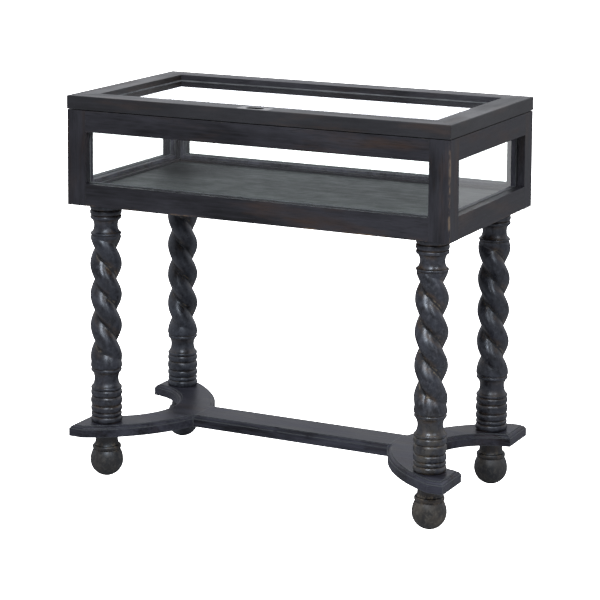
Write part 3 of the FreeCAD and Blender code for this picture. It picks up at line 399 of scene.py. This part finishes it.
def dress_all():
    """Gives each CAD node its material, but for the legs and feet, which are replaced."""
    rail_x = stained_wood("rail_wood_x", "x")
    # Painted shade: the rails along the sides get a darker stain, which dims the faces that the
    # side lamp lights.
    rail_y = stained_wood("rail_wood_y", "y", lift=0.85)
    sill_x = stained_wood("sill_wood_x", "x", sill_wear=1.0)
    sill_y = stained_wood("sill_wood_y", "y", lift=0.85, sill_wear=0.5)
    post = stained_wood("post_wood", "z", warmth=0.5, figure=0.35, corner_wear=0.35)
    rubbed_post = stained_wood("post_wood_rubbed", "z", warmth=0.9, figure=0.45, corner_wear=0.6)
    # Painted sheen: the beads' stain is made much paler.
    bead = stained_wood("bead_wood", "z", wear=1.0, lift=4.5, warmth=0.3, worn=CHALKY)
    lid_x = stained_wood("lid_wood_x", "x", specular=0.72, lift=0.50)
    lid_back = stained_wood("lid_wood_back", "x", specular=0.70, lift=1.4, warmth=0.6)
    # Painted shade: the lid's side rails get a much darker stain, which dims the faces that the
    # side lamp lights.
    lid_y = stained_wood("lid_wood_y", "y", specular=0.78, lift=0.15)
    board = stained_wood("stretcher_wood", "x", wear=1.6, specular=0.20, lift=2.3, worn=SILVERY,
                         figure=0.4, tint=(0.94, 1.0, 1.03), warmth=0.4)
    dress(sill_x, "rail_bottom_front", "rail_bottom_back")
    dress(sill_y, "rail_bottom_left", "rail_bottom_right")
    dress(rail_x, "rail_top_front", "rail_top_back")
    dress(rail_y, "rail_top_left", "rail_top_right")
    dress(bead, *["beads_" + place for place in PLACES])
    dress(post, "post_front_left", "post_back_left", "post_back_right")
    dress(rubbed_post, "post_front_right")
    dress(lid_x, "lid_rail_front", "lid_beads")
    dress(lid_back, "lid_rail_back")
    dress(lid_y, "lid_rail_left", "lid_rail_right")
    dress(board, "stretcher_bar", "stretcher_end_left", "stretcher_end_right")
    dress(floor_board(), "floor_panel")
    dress(pane_glass("window_glass"), *WINDOW_PANES)
    dress(pane_glass("lid_glass"), "lid_glass")
    # Painted shade: the pull's faces that don't look up or down, as in its cup, are nearly black.
    dress(metal("pull_metal", NICKEL, 0.36, upright=0.02), "pull_plate", "pull_screws")
    dress(metal("hinge_metal", BRASS, 0.42), "hinge_leaf_case_left", "hinge_leaf_case_right",
          "hinge_leaf_lid_left", "hinge_leaf_lid_right", "hinge_screws_case", "hinge_screws_lid")
    dress(metal("steel", STEEL, 0.35), "hinge_pins", "foot_bolts", "leg_bolts", "tee_nuts",
          "batten_screws")
    dress(raw_wood("block_wood", *BLOCK_BROWNS), "corner_blocks", "floor_battens_long",
          "floor_battens_short")
    dress(raw_wood("dowel_wood", *DOWEL_BROWNS), "rail_dowels", "stretcher_dowels", "lid_splines")
    dress(felt(), "lid_buffers")


# ---- turned legs and feet ----

SEGMENTS = 120
WAVER, WAVER_SCALE = 0.00035, 60.0

# A leg's twist is two round strands, each STRAND_OFFSET off the axis. They start turned by TURNS.
STRAND_RADIUS, STRAND_OFFSET = 0.0260, 0.0116
TWIST_LEAD, TWIST_BASE, TWIST_STEP = 0.149, 0.265, 0.0022
TURNS = {"front_left": 92.0, "front_right": 101.0, "back_left": 35.0, "back_right": 31.0}
CORE = math.sqrt(STRAND_RADIUS ** 2 - STRAND_OFFSET ** 2)
SWELL = STRAND_RADIUS + STRAND_OFFSET
# The hollow between the strands is filled out near each collar, for this far from it.
LOW_SWELL_HELD, LOW_SWELL_FADES = 0.004, 0.042
HIGH_SWELL_RADIUS, HIGH_SWELL_FADES = 0.0345, 0.022
# A twist's largest radius where it leaves each collar, and how fast that may grow.
LOW_NECK, LOW_NECK_SLOPE = 0.0338, 1.3
HIGH_NECK, HIGH_NECK_SLOPE = 0.0342, 0.42
# The twist's relief at its core, and how fast it rises to 1 towards its swell.
CORE_RELIEF, CREST_GAIN = 0.02, 1.25

# Turned members from the bottom up: rise, radius at its ends, radius at its middle, in millimetres.
LOWER_COLLAR = ((15.0, 33.8, 37.4), (10.0, 33.8, 36.6), (16.5, 33.6, 37.4), (22.0, 33.6, 37.7),
                (16.0, 33.8, 37.3), (8.0, 34.4, 36.9), (35.0, 34.6, 28.7), (8.5, 33.8, 36.8))
UPPER_COLLAR = ((7.0, 33.9, 36.7), (30.5, 33.6, 28.5), (10.5, 33.6, 37.2), (13.0, 34.6, 37.8),
                (15.5, 35.0, 37.7))
FOOT_COLLAR = ((11.0, 31.4, 34.3), (29.0, 30.0, 26.8))
MEMBER_STEP_MM, FEWEST_STEPS = 1.1, 8
ROUNDING, BEAD_FULLNESS, COVE_FULLNESS = 2.1, 0.68, 0.85
# Low relief gets painted shade from turned_wood. FOOT_RELIEF_SHARE lowers a foot collar's relief,
# so more shade is painted on it.
COVE_RELIEF, COVE_RELIEF_GAIN, FOOT_RELIEF_SHARE = 0.25, 0.65, 0.45

# A foot's ball: its radius, the height of its middle, and its half heights below and above that.
BALL_RADIUS, BALL_MIDDLE, BALL_LOW, BALL_HIGH, BALL_STEPS = 0.0393, 0.0384, 0.0389, 0.0450, 44
# A ball's relief, which drops by the gain at each step near its top, so painted shade gathers where
# the ball meets its neck.
BALL_RELIEF, BALL_TOP_RELIEF, BALL_RELIEF_GAIN = 0.9, 0.1, 0.3


def height_of(members):
    return 0.001 * sum(member[0] for member in members)


def collar_levels(base, members):
    """Height, radius and relief at every level up a run of beads and coves."""
    levels = []
    for rise, edge, middle in members:
        is_bead = middle > edge
        fullness = BEAD_FULLNESS if is_bead else COVE_FULLNESS
        count = max(FEWEST_STEPS, round(rise / MEMBER_STEP_MM))
        for step in range(1 if levels else 0, count + 1):
            t = 0.5 - 0.5 * math.cos(math.pi * step / count)
            bulge = (1.0 - abs(2.0 * t - 1.0) ** ROUNDING) ** fullness
            radius = 0.001 * (edge + (middle - edge) * bulge)
            relief = bulge if is_bead else COVE_RELIEF + COVE_RELIEF_GAIN * bulge
            levels.append((base + 0.001 * rise * t, radius, relief))
        base += 0.001 * rise
    return levels


def strand_radius(angle, height, turn):
    """Distance from the axis to the outer of two round strands twisted left-handed."""
    phase = angle - math.radians(turn) + 2.0 * math.pi * (height - TWIST_BASE) / TWIST_LEAD
    across = STRAND_OFFSET * math.sin(phase)
    return abs(STRAND_OFFSET * math.cos(phase)) + math.sqrt(STRAND_RADIUS ** 2 - across ** 2)


def new_piece(name, mesh, material, body):
    piece = bpy.data.objects.new(name, mesh)
    bpy.context.scene.collection.objects.link(piece)
    mesh.materials.append(material)
    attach(piece, body)
    return piece


def lathe(node, axis, levels, radius_at, material):
    """Replaces a CAD leg or foot with a closed turning that keeps its relief for its material."""
    points, relief = [], []
    for level in levels:
        for step in range(SEGMENTS):
            angle = 2.0 * math.pi * step / SEGMENTS
            radius, crest = radius_at(level, angle)
            x, y = radius * math.cos(angle), radius * math.sin(angle)
            place = Vector((x + axis[0], y + axis[1], level[0]))
            uneven = 1.0 + WAVER * smooth_noise.noise(place * WAVER_SCALE) / radius
            points.append((axis[0] + x * uneven, axis[1] + y * uneven, level[0]))
            relief.append(crest)
    faces = []
    for row in range(len(levels) - 1):
        for step in range(SEGMENTS):
            here, beside = row * SEGMENTS + step, row * SEGMENTS + (step + 1) % SEGMENTS
            faces.append((here, beside, beside + SEGMENTS, here + SEGMENTS))
    last = (len(levels) - 1) * SEGMENTS
    faces.append(tuple(range(SEGMENTS - 1, -1, -1)))
    faces.append(tuple(range(last, last + SEGMENTS)))
    mesh = bpy.data.meshes.new("turned_" + node)
    mesh.from_pydata(points, [], faces)
    mesh.attributes.new("relief", "FLOAT", "POINT").data.foreach_set("value", relief)
    mesh.polygons.foreach_set("use_smooth", [True] * (len(faces) - 2) + [False] * 2)
    mesh.validate()
    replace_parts(new_piece("turned_" + node, mesh, material, "table"), node)


def stand_of(node):
    """The upright axis, base and top of a CAD leg or foot."""
    low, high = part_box(node)
    return [(low[i] + high[i]) / 2.0 for i in range(2)], low[2], high[2]


def make_leg(corner, material):
    """Beaded collars at both ends and a rope twist between, which swells out of them."""
    node = "leg_" + corner
    axis, base, top = stand_of(node)
    lower = collar_levels(base, LOWER_COLLAR)
    upper = collar_levels(top - height_of(UPPER_COLLAR), UPPER_COLLAR)
    start, end = lower[-1][0], upper[0][0]
    count = round((end - start) / TWIST_STEP)
    twist = [(start + (end - start) * step / count, None, None) for step in range(1, count)]

    def radius_at(level, angle):
        height, radius, relief = level
        if radius is not None:
            return radius, relief
        below, above = height - start, end - height
        swollen = CORE
        if below < LOW_SWELL_HELD + LOW_SWELL_FADES:
            faded = min(max(below - LOW_SWELL_HELD, 0.0) / LOW_SWELL_FADES, 1.0)
            swollen += (SWELL - CORE) * math.cos(math.pi / 2 * faded)
        if above < HIGH_SWELL_FADES:
            swollen += (HIGH_SWELL_RADIUS - CORE) * math.cos(math.pi / 2 * above / HIGH_SWELL_FADES)
        limit = min(LOW_NECK + LOW_NECK_SLOPE * below, HIGH_NECK + HIGH_NECK_SLOPE * above, SWELL)
        radius = min(max(strand_radius(angle, height, TURNS[corner]), swollen), limit)
        return radius, min(1.0, CREST_GAIN * (radius - CORE) / (SWELL - CORE) + CORE_RELIEF)

    lathe(node, axis, lower + twist + upper, radius_at, material)


def make_foot(corner, material):
    """A slightly flattened ball under a ring and a waisted neck."""
    node = "foot_" + corner
    axis, base, top = stand_of(node)
    collar = [(height, radius, FOOT_RELIEF_SHARE * relief) for height, radius, relief
              in collar_levels(top - height_of(FOOT_COLLAR), FOOT_COLLAR)]
    ball = []
    for step in range(BALL_STEPS + 1):
        height = base + (collar[0][0] - base) * step / BALL_STEPS
        span = BALL_LOW if height < base + BALL_MIDDLE else BALL_HIGH
        radius = BALL_RADIUS * math.sqrt(1.0 - ((height - base - BALL_MIDDLE) / span) ** 2)
        relief = min(BALL_RELIEF, BALL_TOP_RELIEF + BALL_RELIEF_GAIN * (BALL_STEPS - step))
        ball.append((height, radius, relief))
    lathe(node, axis, ball + collar[1:], lambda level, angle: level[1:], material)


def turn_all():
    """Legs and feet. The front right ones are handled most, and the back left ones have faded."""
    leg = turned_wood("leg_wood", LEG_STAIN)
    faded = turned_wood("leg_wood_faded", FADED_LEG_STAIN, warmth=0.35)
    handled = turned_wood("leg_wood_handled", HANDLED_LEG_STAIN, warmth=0.85, wear=0.9,
                          low_wear=0.55)
    foot = turned_wood("foot_wood", FOOT_STAIN, wear=0.6, roughness=0.44)
    handled_foot = turned_wood("foot_wood_handled", HANDLED_FOOT_STAIN, wear=0.9, roughness=0.44)
    for corner in CORNERS:
        make_leg(corner, {"front_right": handled, "back_left": faded}.get(corner, leg))
        make_foot(corner, {"front_right": handled_foot, "back_left": faded}.get(corner, foot))


# ---- putty round the panes ----

PUTTY_RADIUS, PUTTY_BITE, PUTTY_CROWN, PUTTY_STEPS = 0.0023, 0.0003, 0.4, 30
PUTTY_UNEVEN, PUTTY_WAVER_SCALE = 0.5, 90.0
# How far in the rails and beads hide a pane's edge.
PANE_HIDDEN = 0.0070


def make_putty(name, body, middle, across, up, out, half, material):
    """A thin uneven fillet in the angle between a pane's face and the opening round it.

    It runs round a rectangle, whose half sizes are along across and up, on the face that looks
    towards out."""
    across, up, out = Vector(across), Vector(up), Vector(out)
    points, faces = [], []
    for side in range(4):
        first, second = RECTANGLE[side], RECTANGLE[(side + 1) % 4]
        for step in range(PUTTY_STEPS):
            t = step / PUTTY_STEPS
            u, v = (a + (b - a) * t for a, b in zip(first, second))
            centre = middle + across * u * half[0] + up * v * half[1]
            uneven = PUTTY_UNEVEN * smooth_noise.noise(centre * PUTTY_WAVER_SCALE)
            radius = PUTTY_RADIUS * (1.0 + uneven)
            section = ((-PUTTY_BITE, -PUTTY_BITE), (radius, -PUTTY_BITE),
                       (PUTTY_CROWN * radius, PUTTY_CROWN * radius), (-PUTTY_BITE, radius))
            for inset, height in section:
                points.append(middle + across * u * (half[0] - inset) + up * v * (half[1] - inset)
                              + out * height)
    rows, size = 4 * PUTTY_STEPS, len(section)
    for row in range(rows):
        for corner in range(size):
            here, beside = row * size, (row + 1) % rows * size
            turn = (corner + 1) % size
            faces.append((here + corner, beside + corner, beside + turn, here + turn))
    mesh = bpy.data.meshes.new(name)
    mesh.from_pydata(points, [], faces)
    shape = bmesh.new()
    shape.from_mesh(mesh)
    bmesh.ops.recalc_face_normals(shape, faces=shape.faces)
    shape.to_mesh(mesh)
    shape.free()
    mesh.polygons.foreach_set("use_smooth", [True] * len(mesh.polygons))
    new_piece(name, mesh, material, body)


def putty_all(material):
    """Putty on the lid glass's upper face and on the inner face of each window pane."""
    low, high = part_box("lid_glass")
    middle = Vector(((low[0] + high[0]) / 2, (low[1] + high[1]) / 2, high[2]))
    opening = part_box("lid_rail_right")[0][0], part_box("lid_rail_back")[0][1]
    make_putty("lid_putty", "lid", middle, (1, 0, 0), (0, 1, 0), (0, 0, 1), opening, material)
    for place, across, out in (("front", (1, 0, 0), (0, 1, 0)), ("back", (1, 0, 0), (0, -1, 0)),
                               ("left", (0, 1, 0), (1, 0, 0)), ("right", (0, 1, 0), (-1, 0, 0))):
        low, high = (Vector(corner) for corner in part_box("pane_" + place))
        span = (high - low) / 2
        middle = (low + high) / 2 + span * Vector(out)
        opening = abs(span.dot(Vector(across))) - PANE_HIDDEN, span[2] - PANE_HIDDEN
        make_putty("putty_" + place, "table", middle, across, (0, 0, 1), out, opening, material)


# ---- studio ----

CAMERA_PLACE = Vector((2.29241, -4.68527, 1.65150))
CAMERA_TURN = (82.91197, -0.17333, 27.67459)
CAMERA_LENS, CAMERA_SENSOR = 135.73648, 36.0
CAMERA_SHIFT = (0.10275, -0.40089)
CAMERA_CLIP = (0.05, 100.0)

# The sky is brightest towards SKY_LEAN. A pane mirrors it brighter, and the eye sees plain white.
SKY_COLOUR, SKY_LEAN = (0.97, 0.99, 1.05, 1.0), (-0.25, 0.85, 0.45)
SKY_DIM, SKY_BRIGHT, SKY_MIRROR_GAIN, SKY_SEEN = 0.22, 0.85, 2.4, 4.0
FLOOR_HALF, FLOOR_COLOUR, FLOOR_SEEN = 40.0, (0.48, 0.48, 0.49, 1.0), 3.0
FLOOR_MIRRORED, FLOOR_MIRRORED_FROM = 0.35, (1.0, 4.0)
LIGHT_COLOUR, LIGHT_TARGET = (0.88, 0.94, 1.0), Vector((0.0, 0.0, 0.5))


def make_camera():
    """The camera, with a lens shift that holds while its turn is kept as angles.

    The shift is for the photograph's view only, so it is 0 once the turn is kept in another way."""
    data = bpy.data.cameras.new("camera")
    data.sensor_width, data.lens = CAMERA_SENSOR, CAMERA_LENS
    data.clip_start, data.clip_end = CAMERA_CLIP
    camera = bpy.data.objects.new("camera", data)
    bpy.context.scene.collection.objects.link(camera)
    camera.location = CAMERA_PLACE
    camera.rotation_euler = [math.radians(angle) for angle in CAMERA_TURN]
    bpy.context.scene.camera = camera
    for name, shift in zip(("shift_x", "shift_y"), CAMERA_SHIFT):
        curve = data.driver_add(name)
        curve.driver.type = "SUM"
        variable = curve.driver.variables.new()
        variable.type = "SINGLE_PROP"
        variable.targets[0].id = camera
        variable.targets[0].data_path = "rotation_mode"
        for modifier in list(curve.modifiers):
            curve.modifiers.remove(modifier)
        for mode, value in ((0.0, 0.0), (1.0, shift)):
            curve.keyframe_points.insert(mode, value).interpolation = "LINEAR"


def make_world():
    world = bpy.data.worlds.new("studio")
    world.use_nodes = True
    tree = world.node_tree
    tree.nodes.clear()
    path = add(tree, "ShaderNodeLightPath").outputs
    direction = add(tree, "ShaderNodeTexCoord").outputs["Generated"]
    lean = vector_calc(tree, "DOT_PRODUCT", direction, SKY_LEAN)
    level = remap(tree, lean, -0.9, 0.9, SKY_DIM, SKY_BRIGHT)
    # The sky's own ray counts as one more bounce, so this is true up to the second mirror.
    early = calc(tree, "LESS_THAN", path["Ray Depth"], 2.5)
    gain = product(tree, path["Is Singular Ray"], early, SKY_MIRROR_GAIN)
    strength = calc(tree, "MAXIMUM", product(tree, level, calc(tree, "ADD", gain, 1.0)),
                    product(tree, path["Is Camera Ray"], SKY_SEEN))
    sky = add(tree, "ShaderNodeBackground", {"Color": SKY_COLOUR, "Strength": strength})
    tree.links.new(sky.outputs[0], add(tree, "ShaderNodeOutputWorld").inputs["Surface"])
    bpy.context.scene.world = world


def make_floor():
    """A floor that looks white, that panes mirror a little, and that is clear from below."""
    mesh = bpy.data.meshes.new("studio_floor")
    corners = [(FLOOR_HALF * x, FLOOR_HALF * y, 0.0) for x, y in RECTANGLE]
    mesh.from_pydata(corners, [], [(0, 1, 2, 3)])
    floor = bpy.data.objects.new("studio_floor", mesh)
    bpy.context.scene.collection.objects.link(floor)
    material, tree = new_material("studio_floor")
    path = add(tree, "ShaderNodeLightPath").outputs
    geometry = add(tree, "ShaderNodeNewGeometry").outputs
    depth = axes(tree, geometry["Position"])["Y"]
    far = remap(tree, depth, *FLOOR_MIRRORED_FROM, 0.0, FLOOR_MIRRORED)
    strength = calc(tree, "MAXIMUM", product(tree, path["Is Singular Ray"], far),
                    product(tree, path["Is Camera Ray"], FLOOR_SEEN))
    paint = add(tree, "ShaderNodeBsdfDiffuse", {"Color": FLOOR_COLOUR}).outputs[0]
    glow = add(tree, "ShaderNodeEmission", {"Color": WHITE, "Strength": strength}).outputs[0]
    lit = add(tree, "ShaderNodeAddShader", {0: paint, 1: glow}).outputs[0]
    clear = add(tree, "ShaderNodeBsdfTransparent").outputs[0]
    shader = add(tree, "ShaderNodeMixShader", {0: geometry["Backfacing"], 1: lit, 2: clear})
    finish_material(tree, shader.outputs[0])
    mesh.materials.append(material)


def soft_light(name, azimuth, elevation, distance, size, watts):
    """A soft box at these angles round the table, in degrees. The panes do not mirror it."""
    data = bpy.data.lights.new(name, "AREA")
    data.shape = "RECTANGLE"
    data.size, data.size_y = size
    data.energy = watts
    data.color = LIGHT_COLOUR
    light = bpy.data.objects.new(name, data)
    bpy.context.scene.collection.objects.link(light)
    a, e = math.radians(azimuth), math.radians(elevation)
    towards = Vector((math.sin(a) * math.cos(e), -math.cos(a) * math.cos(e), math.sin(e)))
    light.location = LIGHT_TARGET + distance * towards
    light.rotation_euler = (LIGHT_TARGET - light.location).to_track_quat("-Z", "Y").to_euler()
    unlit = bpy.data.collections.new(name + "_unlit_panes")
    for pane in ("lid_glass", *WINDOW_PANES):
        unlit.objects.link(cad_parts[pane])
    for member in unlit.collection_objects:
        member.light_linking.link_state = "EXCLUDE"
    light.light_linking.receiver_collection = unlit


dress_all()
turn_all()
putty_all(raw_wood("putty", *PUTTY_GREYS))
make_camera()
make_world()
make_floor()
soft_light("key", azimuth=17.0, elevation=36.0, distance=3.0, size=(0.75, 0.75), watts=48.0)
soft_light("side", azimuth=62.0, elevation=30.0, distance=3.2, size=(0.4, 0.7), watts=14.0)
bpy.context.scene.view_settings.view_transform = "Standard"
